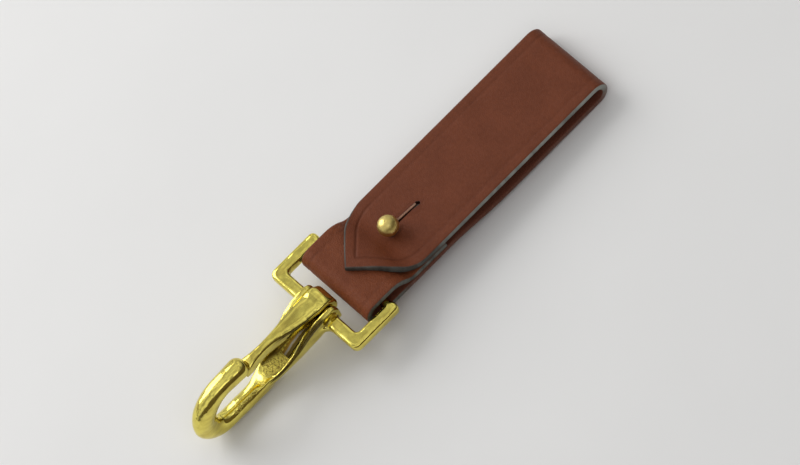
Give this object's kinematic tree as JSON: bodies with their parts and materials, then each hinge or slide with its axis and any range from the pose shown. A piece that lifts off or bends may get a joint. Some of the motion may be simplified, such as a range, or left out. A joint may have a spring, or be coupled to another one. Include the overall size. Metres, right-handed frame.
{
  "type": "belt key clip",
  "caption": "Folded leather strap that buttons over a belt on a brass ball stud and carries a brass trigger snap hook with a square eye for keys.",
  "frame": {"origin": "under the middle of the part's outer box, at the lowest line of the hook's spine", "axes": "+X across the strap, +Y from the hook to the belt fold, +Z out of the front face of the strap"},
  "size_m": [0.0394, 0.1626, 0.0243],
  "materials": {
    "leather": "smooth dyed bridle leather with dark finished edges",
    "turned_brass": "satin turned brass",
    "cast_brass": "polished cast brass",
    "spring_steel": "grey spring steel"
  },
  "bodies": {
    "strap": {"strap_body": "leather", "belt_fold": "leather", "stud": "turned_brass", "stud_screw": "turned_brass"},
    "flap": {"flap": "leather"},
    "hook": {"hook_body": "cast_brass", "gate_pin": "turned_brass", "gate_spring": "spring_steel"},
    "gate": {"gate_lever": "cast_brass"}
  },
  "joints": [
    {"name": "flap_lift", "type": "hinge", "parent": "strap", "child": "flap", "pos_m": [0, 0.0768, 0.0097], "axis": [-1, 0, 0], "range_deg": [0, 100], "deforming": ["flap", "belt_fold"]},
    {"name": "hook_swing", "type": "hinge", "parent": "strap", "child": "hook", "pos_m": [0, -0.0139, 0.0117], "axis": [-1, 0, 0], "range_deg": [-90, 90]},
    {"name": "gate_open", "type": "hinge", "parent": "hook", "child": "gate", "pos_m": [0, -0.0277, 0.0136], "axis": [1, 0, 0], "range_deg": [0, 18], "stiffness_Nm_per_rad": 0.15, "springref_deg": -20.05, "deforming": ["gate_spring"]}
  ]
}
